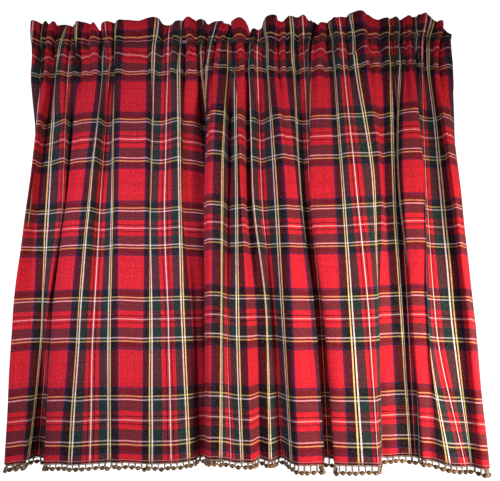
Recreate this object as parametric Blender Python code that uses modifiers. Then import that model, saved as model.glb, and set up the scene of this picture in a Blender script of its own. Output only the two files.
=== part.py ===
"""Cafe curtain: one wide tartan panel gathered on a rod pocket, with a ruffled frill above
the pocket and a beaded braid along the hem. The front faces -Y, the top edge is at z = 0.

Three solids: the heading (frill and pocket), the panel and the bead trim. The gathers come
from one table of folds, which gives each fold's place on the flat cloth, where it hangs from
side to side at five heights, and how far it stands back or forward.
"""

from collections import namedtuple
from itertools import chain
from math import cos, pi, sin

import bmesh
import bpy
from mathutils import Vector

MM = 0.001

# The flat cloth and how it hangs, in metres
FRILL_RISE = 0.0325  # the ruffle above the upper stitch row
POCKET_RISE = 0.055  # between the two stitch rows, 60 mm of cloth bowed round the rod
BODY_DROP = 0.602  # from the lower stitch row to the hem
POCKET_BOW = 0.013  # how far each pocket wall stands off the rod's line
POCKET_Z = -FRILL_RISE - POCKET_RISE / 2
ROW_Z = -FRILL_RISE - POCKET_RISE
HEM_Z = ROW_Z - BODY_DROP

# Thicknesses and gaps
CLOTH_THICK = 0.0012
FRILL_THICK = 0.0020  # two layers sewn together
SEAM_GAP = 0.0003
SEAM_REACH = 0.003  # how far a stitched seam reaches into the pocket

# The braid and its beads
BRAID_DROP = 0.003
BRAID_THICK = 0.0016
BEAD_PITCH = 0.0093
BEAD_DIAMETER = 0.0068
BEAD_WAIST = 0.45  # the widest place of a bead, as a share of its height from the top
BEAD_TIP = 0.32  # width of its lower end, as a share of its width
STRAND_WIDTH = 0.0016
STRAND_DROP = 0.0028  # strand that shows between the braid and the bead

# How the gathers spread below the pocket
GATHER_DROP = 0.090  # the folds reach their full depth this far below the stitches
FRILL_SPREAD = 0.6  # share of the frill's spread from side to side that lies above the pocket
SEAM_FOLLOWS_ROW = 0.5  # how much of the lower gathers' depth reaches the upper stitch row
SEAM_FOLLOWS_FRILL = 0.3  # and how much of the frill's lean does
ROD_FLATTENS = 0.8  # the rod presses the gathers flat by this share, half way up the pocket
ROW_SHARE = 0.22  # depth of a gather at the stitches, as a share of its depth below
ROW_MIDDLE = 20 * MM  # the depth of fold that meets the rod's line
FRONT_Y = -12 * MM  # the front plane of the hanging folds
SIGHT = 0.70  # a fold seen from this far lies further out the further it stands behind that plane
HEIGHTS = (0.0, 0.200, 0.400, BODY_DROP)  # hem, low, high and stitch row

# Millimetres. along: place on the flat cloth from its left edge. frill to hem: place from the
# middle, at the frill's top, the stitch row, 400 and 200 mm above the hem, and the hem.
# out: how far the frill leans to the front. back_high, back_hem: how far the fold stands
# behind the front plane. lift_row, lift_hem: how far the cloth is drawn up at those two.
Fold = namedtuple("Fold", "name along frill row high low hem out back_high back_hem lift_row lift_hem")
FOLDS = [
    Fold("left edge", 0, -353, -348, -318, -326, -320, 12, 40, 34, -1, -5),
    Fold("left turn", 55, -324, -330, -339, -348, -342, 12, 4, 10, -1, -6),
    Fold("first crest", 103, -303, -313, -321, -316, -316, 2, 24, 4, 0, -3),
    Fold("first crest end", 120, -293, -306, -306, -303, -311, -3, 20, 28, 0, -3),
    Fold("small crest", 148, -288, -290, -284, -295, -298, 0, 3, 40, 0, -4),
    Fold("second tuck", 180, -274, -273.5, -275.5, -288, -285, 6, 28, 32, 0, -4),
    Fold("second rise", 198, -264, -270.5, -277.5, -290, -289, 8, 11, 12, 0, -4),
    Fold("second face", 241, -243, -238, -252, -261, -264, 8, 5, 3, 0, -2),
    Fold("second crest", 260, -237, -231, -241, -247, -248, -13, 0, 0, 0, -2),
    Fold("second fall", 290, -228, -220, -224, -225, -220, 7, 22, 4, 0, -2),
    Fold("second valley", 320, -210, -212, -205, -200, -192, 10, 12, 9, 0, -1),
    Fold("third rise", 339, -198, -198, -195, -187, -178, 9, 8, 3, 0, 0),
    Fold("third fall", 382, -159, -159, -155, -150, -145, 14, 7, 11, 0, -2),
    Fold("third valley", 401, -145, -148, -147, -139, -132, 12, 18, 5, 0, -1),
    Fold("pivot line", 431, -121, -125, -124, -113, -103, -7, 15, 3, 0, 0),
    Fold("fourth crest", 461, -105, -106, -100, -91, -79, 9, 7, 14, 0, 1),
    Fold("fourth rise", 480, -98, -95, -95, -78, -70, 12, 16, 23, 0, 1),
    Fold("tucked face", 523, -77, -75, -64, -59, -55, 9, 36, 40, 0, 1),
    Fold("tuck turn", 550, -68, -69, -39, -33.5, -29.5, 3, 50, 54, 2, 2),
    Fold("tuck back", 571, -60, -65, -36.5, -31.5, -28.5, 0, 38, 40, 4, 4),
    Fold("tuck return", 603, -44, -59, -59, -55, -51, -1, 22, 24, 5, 5),
    Fold("lapping edge", 626, -35.5, -55, -62, -58, -55, 2, 7, 8, 6, 6),
    Fold("lap", 664, -28.5, -42, -49, -48, -47, -10, -3, 0, 6, 7),
    Fold("lap crest", 683, -27, -26.5, -33.5, -32.5, -32.5, -13, 0, 0, 6, 6),
    Fold("lap valley", 713, -25.5, -22.5, -23.5, -25.5, -18, -16, 27, 6, 4, 3),
    Fold("fifth rise", 743, -24, -17.5, -12.5, -9.5, -2.5, -8, 7, 5, 2, 2),
    Fold("fifth crest", 762, -22.5, -13.5, -5.5, 4, 10, 1, 0, 0, 2, 2),
    Fold("fifth fall", 805, 13, 3, 2, 17, 22, -4, 27, 28, 4, 2),
    Fold("fifth valley", 824, 16, 6, 11.5, 33, 37, -24, 18, 14, 5, 1),
    Fold("sixth valley", 854, 21, 20, 25, 42, 52, -17, 33, 35, 5, 1),
    Fold("sixth rise", 884, 36, 38, 48, 57, 66, 6, 11, 9, 2, 0),
    Fold("sixth crest", 903, 50, 47, 64, 72, 77, 16, 1, 1, 0, 0),
    Fold("seventh fall", 946, 63, 65, 80, 98, 111, 9, 8, 4, 0, 0),
    Fold("seventh edge", 957, 70, 72, 82.5, 104, 112.5, 10, 12, 7, 0, 0),
    Fold("dark side", 965, 75, 77, 84.5, 100.5, 107, 11, 19, 24, 0, 1),
    Fold("dark valley", 995, 95, 95, 99.5, 112, 117.5, 15, 25, 30, 0, 3),
    Fold("dark tuck", 1024, 106, 101, 103, 120, 127, 0, 24, 28, 0, 2),
    Fold("eighth rise", 1044, 117, 106, 99, 116.5, 125, -17, 9, 9, 0, 0),
    Fold("eighth face", 1087, 129, 134, 138, 142, 146, -6, 4, 3, 0, 0),
    Fold("eighth crest", 1136, 154, 158, 171, 183, 188, 5, 0, 0, 1, 1),
    Fold("eighth edge", 1166, 173, 177, 198.5, 198, 191, 16, 3, 12, 3, 3),
    Fold("ninth edge", 1185, 189, 192, 207, 198, 194, 19, 11, 31, 7, 4),
    Fold("ninth face", 1228, 216, 219, 214, 214, 214, -4, 22, 31, 8, 5),
    Fold("ninth valley", 1247, 232, 231, 227, 229, 232, -1, 18, 30, 8, 6),
    Fold("ninth return", 1277, 237, 237.5, 238, 238, 239, 0, 31, 29, 8, 5),
    Fold("tenth tuck", 1300, 245, 244.5, 234.5, 247, 243, 0, 18, 25, 8, 6),
    Fold("tenth edge", 1326, 256, 255, 242, 245, 249, 0, 3, 16, 8, 6),
    Fold("tenth fall", 1370, 271, 268, 275, 268, 269, 6, 1, 8, 7, 5),
    Fold("tenth turn", 1389, 278, 274, 269, 266, 285, 3, 12, 3, 5, 2),
    Fold("tenth valley", 1418, 292, 279.5, 275, 278, 307.5, 10, 24, 8, 3, -1),
    Fold("eleventh rise", 1467, 309, 299, 313, 319, 323, -17, 14, 5, 0, -1),
    Fold("eleventh crest", 1489, 315, 307, 319, 328, 334, -11, 1, 0, 0, -1),
    Fold("right turn", 1512, 321, 318, 327, 335, 342, -22, 18, 11, 0, -4),
    Fold("right edge", 1524, 326, 328, 320, 328, 336, -30, 32, 22, 0, -4),
]

# Grid of the solids
PANEL_STEPS = 3  # strips of cloth between two folds of the table
HEADING_STEPS = 2
PANEL_ROWS = (0, 14, 32, 58, 93, 142, 205, 290, 375, 460, 538, 602)  # mm below the stitches


def slopes(knots, values):
    """Slopes of a smooth curve through the values that never swings past them."""
    steps = [b - a for a, b in zip(knots, knots[1:])]
    rates = [(b - a) / h for a, b, h in zip(values, values[1:], steps)]
    inner = []
    for h0, h1, r0, r1 in zip(steps, steps[1:], rates, rates[1:]):
        if r0 * r1 <= 0:
            inner.append(0.0)
            continue
        w0 = 2 * h1 + h0
        w1 = h1 + 2 * h0
        inner.append((w0 + w1) / (w0 / r0 + w1 / r1))
    return [rates[0]] + inner + [rates[-1]]


def smooth_through(knots, values):
    """A function that reads the smooth curve through the values."""
    tangents = slopes(knots, values)

    def read(t):
        i = 0
        while i < len(knots) - 2 and t > knots[i + 1]:
            i += 1
        h = knots[i + 1] - knots[i]
        u = (t - knots[i]) / h
        a = (1 + 2 * u) * (1 - u) ** 2 * values[i]
        b = u * (1 - u) ** 2 * h * tangents[i]
        c = u * u * (3 - 2 * u) * values[i + 1]
        d = u * u * (u - 1) * h * tangents[i + 1]
        return a + b + c + d

    return read


def mix(a, b, share):
    return a + (b - a) * share


def smooth_step(t):
    t = min(max(t, 0.0), 1.0)
    return t * t * (3 - 2 * t)


ALONG = [fold.along * MM for fold in FOLDS]
COLUMN = {
    field: smooth_through(ALONG, [getattr(fold, field) * MM for fold in FOLDS])
    for field in Fold._fields[2:]
}


def stations(steps):
    """Places on the flat cloth, with the given number of steps from fold to fold."""
    places = []
    for start, end in zip(ALONG, ALONG[1:]):
        places += [mix(start, end, i / steps) for i in range(steps)]
    return places + [ALONG[-1]]


def in_sight(x, y):
    """Place from side to side at depth y of what is seen at x in the front plane."""
    return x * (1 + (y - FRONT_Y) / SIGHT)


def gather_y(along):
    """Depth of the gathers at the lower stitch row."""
    return ROW_SHARE * (COLUMN["back_high"](along) - ROW_MIDDLE)


def body_point(along, height):
    """A point of the hanging cloth, at a height above the hem."""
    across = [COLUMN[field](along) for field in ("hem", "low", "high", "row")]
    x = smooth_through(HEIGHTS, across)(height)
    share = min(height / HEIGHTS[2], 1.0)
    back = mix(COLUMN["back_hem"](along), COLUMN["back_high"](along), share)
    opened = smooth_step((BODY_DROP - height) / GATHER_DROP)
    y = mix(gather_y(along), FRONT_Y + back, opened)
    lift = mix(COLUMN["lift_hem"](along), COLUMN["lift_row"](along), height / BODY_DROP)
    return Vector((in_sight(x, y), y, HEM_Z + height + lift))


def heading_point(along, level, bow):
    """A point of the heading. level is 0 at the lower stitch row, 1 at the upper and 2 at the
    frill's top; bow is -1 for the front wall of the pocket, 1 for the back wall, 0 for a seam."""
    row_y = gather_y(along)
    top_y = -COLUMN["out"](along)
    seam_y = SEAM_FOLLOWS_ROW * row_y + SEAM_FOLLOWS_FRILL * top_y
    row_x = COLUMN["row"](along)
    top_x = COLUMN["frill"](along)
    if level <= 1:
        turn = pi * level
        x = mix(row_x, top_x, (1 - FRILL_SPREAD) * level)
        y = mix(row_y, seam_y, level) * (1 - ROD_FLATTENS * sin(turn)) + bow * POCKET_BOW * sin(turn)
        z = POCKET_Z - cos(turn) * POCKET_RISE / 2 + COLUMN["lift_row"](along) * (1 - level)
        return Vector((in_sight(x, y), y, z))
    rise = level - 1
    x = mix(row_x, top_x, 1 - FRILL_SPREAD * (1 - rise))
    y = mix(seam_y, top_y, rise)
    return Vector((in_sight(x, y), y, -FRILL_RISE * (1 - rise)))


def offset_row(points, distance):
    """The row of points moved square to itself, level, to the front where distance is positive."""
    moved = []
    for i, point in enumerate(points):
        ahead = points[min(i + 1, len(points) - 1)]
        behind = points[max(i - 1, 0)]
        run = Vector((ahead.x - behind.x, ahead.y - behind.y, 0)).normalized()
        moved.append(point + Vector((run.y, -run.x, 0)) * distance)
    return moved


def material(name, colour, roughness, metallic=0.0):
    made = bpy.data.materials.new(name)
    made.use_nodes = True
    shader = made.node_tree.nodes["Principled BSDF"]
    shader.inputs["Base Color"].default_value = (*colour, 1.0)
    shader.inputs["Roughness"].default_value = roughness
    shader.inputs["Metallic"].default_value = metallic
    return made


def collection(name):
    made = bpy.data.collections.new(name)
    bpy.context.scene.collection.children.link(made)
    return made


def grid_through(rows):
    """An open grid whose corners lie on the rows of points, given from the lowest row up."""
    shape = bmesh.new()
    bmesh.ops.create_grid(shape, x_segments=len(rows[0]) - 1, y_segments=len(rows) - 1, size=1.0)
    for vert, point in zip(shape.verts, chain.from_iterable(rows)):
        vert.co = point
    return shape


def thicken(sheet, thickness):
    """Gives an open sheet its thickness, half on each side."""
    solid = sheet.modifiers.new("thickness", "SOLIDIFY")
    solid.thickness = thickness
    solid.offset = 0.0


def mesh_object(name, shape, made_of, home):
    """An object from a bmesh, in its collection."""
    mesh = bpy.data.meshes.new(name)
    shape.to_mesh(mesh)
    shape.free()
    made = bpy.data.objects.new(name, mesh)
    mesh.materials.append(made_of)
    home.objects.link(made)
    return made


def make_panel(home):
    """The cloth below the pocket: an open grid over the folds, given its thickness."""
    places = stations(PANEL_STEPS)
    rows = [[body_point(along, BODY_DROP - below * MM) for along in places] for below in PANEL_ROWS]
    rows[0] = [point - Vector((0, 0, SEAM_GAP)) for point in rows[0]]
    shape = grid_through(rows[::-1])
    panel = mesh_object("panel", shape, material("tartan cloth", (0.55, 0.03, 0.04), 0.85), home)
    thicken(panel, CLOTH_THICK)


def make_heading(home):
    """The frill and the pocket, lofted from one section to the next along the gathers."""
    places = stations(HEADING_STEPS)
    walls = (0.25, 0.5, 0.75)
    half_seam = FRILL_THICK / 2
    half_wall = CLOTH_THICK / 2

    def row(level, bow, distance):
        return offset_row([heading_point(along, level, bow) for along in places], distance)

    outer = [row(0, 0, half_seam)]
    outer += [row(level, -1, half_wall) for level in walls]
    outer += [row(level, 0, half_seam) for level in (1, 1.5, 2)]
    outer += [row(level, 0, -half_seam) for level in (2, 1.5, 1)]
    outer += [row(level, 1, -half_wall) for level in reversed(walls)]
    outer += [row(0, 0, -half_seam)]
    seam = Vector((0, 0, SEAM_REACH))
    inner = [[point + seam for point in row(0, 0, 0)]]
    inner += [row(level, -1, -half_wall) for level in walls]
    inner += [[point - seam for point in row(1, 0, 0)]]
    inner += [row(level, 1, half_wall) for level in reversed(walls)]

    shape = bmesh.new()
    out_verts = [[shape.verts.new(point) for point in line] for line in outer]
    in_verts = [[shape.verts.new(point) for point in line] for line in inner]
    last = len(places) - 1
    for loops, inside in ((out_verts, False), (in_verts, True)):
        for a, b in zip(loops, loops[1:] + loops[:1]):
            for i in range(last):
                face = (a[i], a[i + 1], b[i + 1], b[i])
                shape.faces.new(reversed(face) if inside else face)
    front = [0, 1, 2, 3, 4]  # outer rows of the front wall, and the inner rows behind them
    back = [len(outer) - 1 - i for i in front]
    behind = [0, 7, 6, 5, 4]
    for end in (0, last):
        section = []
        for i in range(4):
            section.append((out_verts[front[i]], out_verts[front[i + 1]], in_verts[i + 1], in_verts[i]))
            section.append(
                (out_verts[back[i + 1]], out_verts[back[i]], in_verts[behind[i]], in_verts[behind[i + 1]])
            )
        section.append((out_verts[front[0]], in_verts[0], out_verts[back[0]]))
        section.append((out_verts[front[4]], out_verts[back[4]], in_verts[4]))
        section.append((out_verts[4], out_verts[5], out_verts[8], out_verts[9]))
        section.append((out_verts[5], out_verts[6], out_verts[7], out_verts[8]))
        for lines in section:
            face = [line[end] for line in lines]
            shape.faces.new(face if end else reversed(face))
    bmesh.ops.recalc_face_normals(shape, faces=shape.faces[:])
    mesh_object("heading", shape, material("gathered tartan", (0.50, 0.03, 0.05), 0.85), home)


def evenly_spaced(points, pitch):
    """Points at an even pitch along a row of points, half a pitch in from its ends."""
    places = []
    travelled = pitch / 2
    for start, end in zip(points, points[1:]):
        length = (end - start).length
        while travelled < length:
            places.append(start.lerp(end, travelled / length))
            travelled += pitch
        travelled -= length
    return places


def make_bead_trim(home):
    """The braid under the hem, with a strand and a bead at each loop, joined into one."""
    braid_top = Vector((0, 0, CLOTH_THICK / 2 + SEAM_GAP))
    drop = Vector((0, 0, BRAID_DROP))
    top = [body_point(along, 0.0) - braid_top for along in stations(PANEL_STEPS)]
    gold = material("antique gold beads", (0.45, 0.30, 0.12), 0.35, 0.8)
    braid = mesh_object("bead_trim", grid_through([[point - drop for point in top], top]), gold, home)
    thicken(braid, BRAID_THICK)

    beads = bmesh.new()
    neck = -BRAID_DROP - STRAND_DROP
    profile = (
        (STRAND_WIDTH / 2, -BRAID_DROP / 2),
        (STRAND_WIDTH / 2, neck),
        (BEAD_DIAMETER / 2, neck - BEAD_DIAMETER * BEAD_WAIST),
        (BEAD_DIAMETER / 2 * BEAD_TIP, neck - BEAD_DIAMETER),
    )
    corners = ((1, 0), (0, 1), (-1, 0), (0, -1))
    for place in evenly_spaced(top, BEAD_PITCH):
        rings = []
        for radius, z in profile:
            ring = [place + Vector((a * radius, b * radius, z)) for a, b in corners]
            rings.append([beads.verts.new(point) for point in ring])
        for upper, lower in zip(rings, rings[1:]):
            for i in range(4):
                beads.faces.new((lower[i], lower[(i + 1) % 4], upper[(i + 1) % 4], upper[i]))
        beads.faces.new(rings[0])
        beads.faces.new(reversed(rings[-1]))
    helpers = collection("bead helpers")
    hung = mesh_object("hung beads", beads, gold, helpers)
    hung.hide_render = True
    hung.display_type = "WIRE"
    joined = braid.modifiers.new("beads joined to braid", "BOOLEAN")
    joined.operation = "UNION"
    joined.object = hung


def main():
    for old in list(bpy.data.objects):
        bpy.data.objects.remove(old)
    curtain = collection("cafe curtain")
    make_heading(curtain)
    make_panel(curtain)
    make_bead_trim(curtain)


main()
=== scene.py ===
# %% [markdown]
# # A gathered tartan cafe curtain
# A cafe curtain is one wide panel of cloth, pushed together on a rod until it hangs in folds.
# The solids for fitting and collision are already packed. This lesson loads them as a fixed
# frame and dresses them: fine cloth, tartan thread by thread, stitches, a plaited braid and
# metal beads. Nothing here moves a solid, so every new piece is made in the same place.

# %% Load the fixed frame
from collections import namedtuple
from math import cos, pi, radians, sin

import bpy
import numpy as np
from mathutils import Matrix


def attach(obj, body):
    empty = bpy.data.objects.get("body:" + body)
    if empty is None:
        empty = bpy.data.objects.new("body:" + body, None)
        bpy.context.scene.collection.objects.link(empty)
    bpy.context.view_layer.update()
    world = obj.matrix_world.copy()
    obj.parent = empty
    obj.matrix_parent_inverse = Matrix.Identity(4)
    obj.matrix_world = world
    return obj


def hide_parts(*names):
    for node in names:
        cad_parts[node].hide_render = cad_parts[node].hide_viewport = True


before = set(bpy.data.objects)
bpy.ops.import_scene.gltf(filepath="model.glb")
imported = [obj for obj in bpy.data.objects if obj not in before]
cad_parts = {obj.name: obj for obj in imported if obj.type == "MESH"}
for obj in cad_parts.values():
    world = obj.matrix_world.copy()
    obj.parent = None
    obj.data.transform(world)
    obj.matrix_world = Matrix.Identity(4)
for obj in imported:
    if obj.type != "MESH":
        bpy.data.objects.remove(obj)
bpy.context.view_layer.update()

# %% [markdown]
# ## Camera
# The photograph looks slightly up at the cloth from about its own width away, a little from
# the right. A camera is a lens and a place: the lens and the angles below are those at which
# the folds, the two stitch rows and the hem of the solids fall where the photograph has them.

# %% Camera
CAMERA_PLACE = (0.035, -0.7313, -0.483)
CAMERA_UP = 0.1561  # radians
CAMERA_LEFT = 0.0362
LENS_MM = 34.63

lens = bpy.data.cameras.new("camera")
lens.lens = LENS_MM
lens.sensor_width = 36.0
camera = bpy.data.objects.new("camera", lens)
camera.location = CAMERA_PLACE
camera.rotation_euler = (pi / 2 + CAMERA_UP, 0.0, CAMERA_LEFT)
bpy.context.scene.collection.objects.link(camera)
bpy.context.scene.camera = camera
print("camera", CAMERA_PLACE, "lens", LENS_MM, "mm")

# %% [markdown]
# ## Studio
# Cloth shows its folds when light comes from one side and a weaker light fills the other.
# A warm panel stands low on the right and a cool one on the left. Both have a narrow beam, so
# their light dies away towards the curtain's edges and its heading, as in the photograph. An
# even light from all sides would be simpler, but it would wash the folds out.

# %% A soft light
scene = bpy.context.scene


def soft_light(name, place, aim, size, beam, watts, colour):
    """A square panel of light turned to face the aim. A narrow beam fades away round the aim."""
    panel = bpy.data.lights.new(name, "AREA")
    panel.shape = "SQUARE"
    panel.size = size
    panel.spread = radians(beam)
    panel.energy = watts
    panel.color = colour
    holder = bpy.data.objects.new(name, panel)
    holder.location = place
    facing = holder.location.copy()
    facing.xyz = [b - a for a, b in zip(place, aim)]
    holder.rotation_euler = facing.to_track_quat("-Z", "Y").to_euler()
    scene.collection.objects.link(holder)
    print(name, "of", watts, "watts at", place)
    return holder


# %% Lights and world
scene.view_settings.view_transform = "Standard"
world = bpy.data.worlds.new("studio air")
world.use_nodes = True
air = world.node_tree.nodes["Background"]
air.inputs["Color"].default_value = (0.93, 0.95, 1.0, 1.0)
air.inputs["Strength"].default_value = 0.10
scene.world = world

soft_light(
    "warm key",
    place=(0.90, -0.73, -0.70),
    aim=(0.29, 0.0, -0.55),
    size=0.35,
    beam=56,
    watts=2.4,
    colour=(1.0, 0.80, 0.65),
)
soft_light(
    "cool fill",
    place=(-0.61, -0.89, -0.34),
    aim=(-0.15, 0.0, -0.36),
    size=0.35,
    beam=58,
    watts=0.95,
    colour=(0.95, 0.86, 1.0),
)
print("air of strength", round(air.inputs["Strength"].default_value, 2))

# %% [markdown]
# ## A bench for materials
# A material is a tree of nodes, and it can be wired by hand in the node editor. Tartan takes
# more than fifty of them. A small class that adds a node and fills its inputs in one line makes
# a recipe short enough to read, so the finishes below are written with it.

# %% A small bench for building materials


class Bench:
    """Adds nodes to one material and wires them, so that a recipe reads from top to bottom."""

    def __init__(self, name):
        self.material = bpy.data.materials.new(name)
        self.material.use_nodes = True
        self.tree = self.material.node_tree
        self.shader = self.tree.nodes["Principled BSDF"]

    def wire(self, value, socket):
        """Puts a plain value on a socket, or a wire from another node's output."""
        if isinstance(value, bpy.types.NodeSocket):
            self.tree.links.new(value, socket)
        elif value is not None:
            socket.default_value = value

    def node(self, kind, *values, out=0, **settings):
        """A node with its first inputs filled in order. Returns one of its outputs."""
        made = self.tree.nodes.new("ShaderNode" + kind)
        for name, setting in settings.items():
            setattr(made, name, setting)
        for value, socket in zip(values, made.inputs):
            self.wire(value, socket)
        return made.outputs[out]

    def math(self, operation, *values):
        """The result of a Math node."""
        return self.node("Math", *values, operation=operation)

    def blend(self, share, a, b, way="MIX"):
        """Colour a with a share of colour b over it, or blended in another way."""
        # A Mix node has sockets for plain numbers first: 6, 7 and output 2 are those for colours.
        made = self.tree.nodes.new("ShaderNodeMix")
        made.data_type = "RGBA"
        made.blend_type = way
        self.wire(share, made.inputs[0])
        self.wire(a, made.inputs[6])
        self.wire(b, made.inputs[7])
        return made.outputs[2]

    def set(self, **values):
        """Fills the shader's own sockets. Base_Color stands for Base Color."""
        for name, value in values.items():
            self.wire(value, self.shader.inputs[name.replace("_", " ")])


# %% [markdown]
# ## Pale sweep
# Behind the curtain a roll of pale paper runs down and out over the floor in one round bend,
# so no line shows between floor and wall. A plane with a bevelled bend would do. Here it is a
# profile seen from the side, pulled out to both sides: corners first, then the faces between
# them. The same two helpers make the sheet of cloth later. The lamps' narrow beams hardly reach
# the paper, so it glows of itself, the more the further back it is, until it is nearly white.

# %% Objects from corners


def new_object(name, points, faces):
    """An object from a list of corners and a list of faces, with smooth shading."""
    mesh = bpy.data.meshes.new(name)
    mesh.from_pydata(points, [], faces)
    mesh.shade_smooth()
    made = bpy.data.objects.new(name, mesh)
    scene.collection.objects.link(made)
    return made


def grid_faces(rows, columns):
    """The faces between neighbouring rows of corners, counted row by row."""
    faces = []
    for row in range(rows - 1):
        for column in range(columns - 1):
            corner = row * columns + column
            faces.append((corner, corner + 1, corner + columns + 1, corner + columns))
    return faces


# %% Pale sweep
FLOOR_Z = -0.95
SWEEP_FRONT = -6.0
SWEEP_BACK = 3.2  # where the floor has turned up into the wall
SWEEP_TOP = 5.0
SWEEP_ROUND = 1.2
SWEEP_HALF = 6.0
BEND_STEPS = 12

profile = [(SWEEP_FRONT, FLOOR_Z), (0.0, FLOOR_Z), (SWEEP_BACK - SWEEP_ROUND, FLOOR_Z)]
for step in range(1, BEND_STEPS + 1):
    turn = step / BEND_STEPS * pi / 2
    round_y = SWEEP_BACK - SWEEP_ROUND * (1 - sin(turn))
    profile.append((round_y, FLOOR_Z + SWEEP_ROUND * (1 - cos(turn))))
profile.append((SWEEP_BACK, SWEEP_TOP))
sweep_points = []
for y, z in profile:
    sweep_points += [(-SWEEP_HALF, y, z), (SWEEP_HALF, y, z)]
sweep = new_object("pale_sweep", sweep_points, grid_faces(len(profile), 2))
paper = Bench("pale paper")
depth = paper.tree.nodes.new("ShaderNodeSeparateXYZ")
paper.wire(paper.node("TexCoord", out=3), depth.inputs[0])
paper.set(
    Base_Color=(0.85, 0.85, 0.85, 1.0),
    Roughness=0.9,
    Emission_Color=(1.0, 1.0, 1.0, 1.0),
    Emission_Strength=paper.node("MapRange", depth.outputs[1], 0.1, 0.8, 0.0, 0.9),
)
sweep.data.materials.append(paper.material)
print("floor at", FLOOR_Z, "m")

# %% [markdown]
# ## How the cloth hangs
# The curtain is one flat cloth, 1.52 m wide, drawn up to less than half that on its rod. So
# the natural way to describe it is a map: for each place on the flat cloth, where it hangs.
# The table below is that map, fold by fold, with the same values as the solids. A cloth
# simulation would also fold the cloth, but in folds of its own, and these are the ones to keep.
#
# All its values are in millimetres. A fold line has its place along the flat cloth, and then its
# place from side to side at five heights: the frill's top, the row of lower stitches, high and
# low on the panel, and the hem. Next come how far the frill's top leans out to the front, how
# far back the line hangs behind the nearest fold, and how far it is drawn up.

# %% The flat cloth and its gathers, in metres
MM = 0.001
FRILL_RISE = 0.0325
POCKET_RISE = 0.055
POCKET_CLOTH = 0.060  # cloth that bows round the rod between the two stitch rows
BODY_DROP = 0.602
POCKET_BOW = 0.0105  # how far each wall of the pocket stands off the rod's line
POCKET_SLACK = 0.75  # 0 for a pocket as round as a drum, 1 for one with straight walls
POCKET_Z = -FRILL_RISE - POCKET_RISE / 2
HEM_Z = -FRILL_RISE - POCKET_RISE - BODY_DROP
GATHER_DROP = 0.090
FRILL_SPREAD = 0.6  # share of the frill's fanning out that happens above the upper stitches
SEAM_FOLLOWS_ROW = 0.5  # how closely the upper stitches follow the folds below them
SEAM_FOLLOWS_FRILL = 0.3
ROD_FLATTENS = 0.8  # how much of the folds' depth the rod takes out of the pocket
SEAM_SUNK = 0.0018  # how far the upper stitches pull the cloth in
ROW_SHARE = 0.22  # share of the folds' depth that is left at the lower stitches
ROW_MIDDLE = 20 * MM
FRONT_Y = -12 * MM  # the front plane, which the nearest folds reach
SIGHT = 0.70  # metres from the eye to the front plane
HEIGHTS = (0.0, 0.200, 0.400, BODY_DROP)  # of the hem, low, high and the lower stitches
print("flat cloth below the pocket", BODY_DROP, "m, and hem at", round(HEM_Z, 4), "m")

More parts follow.
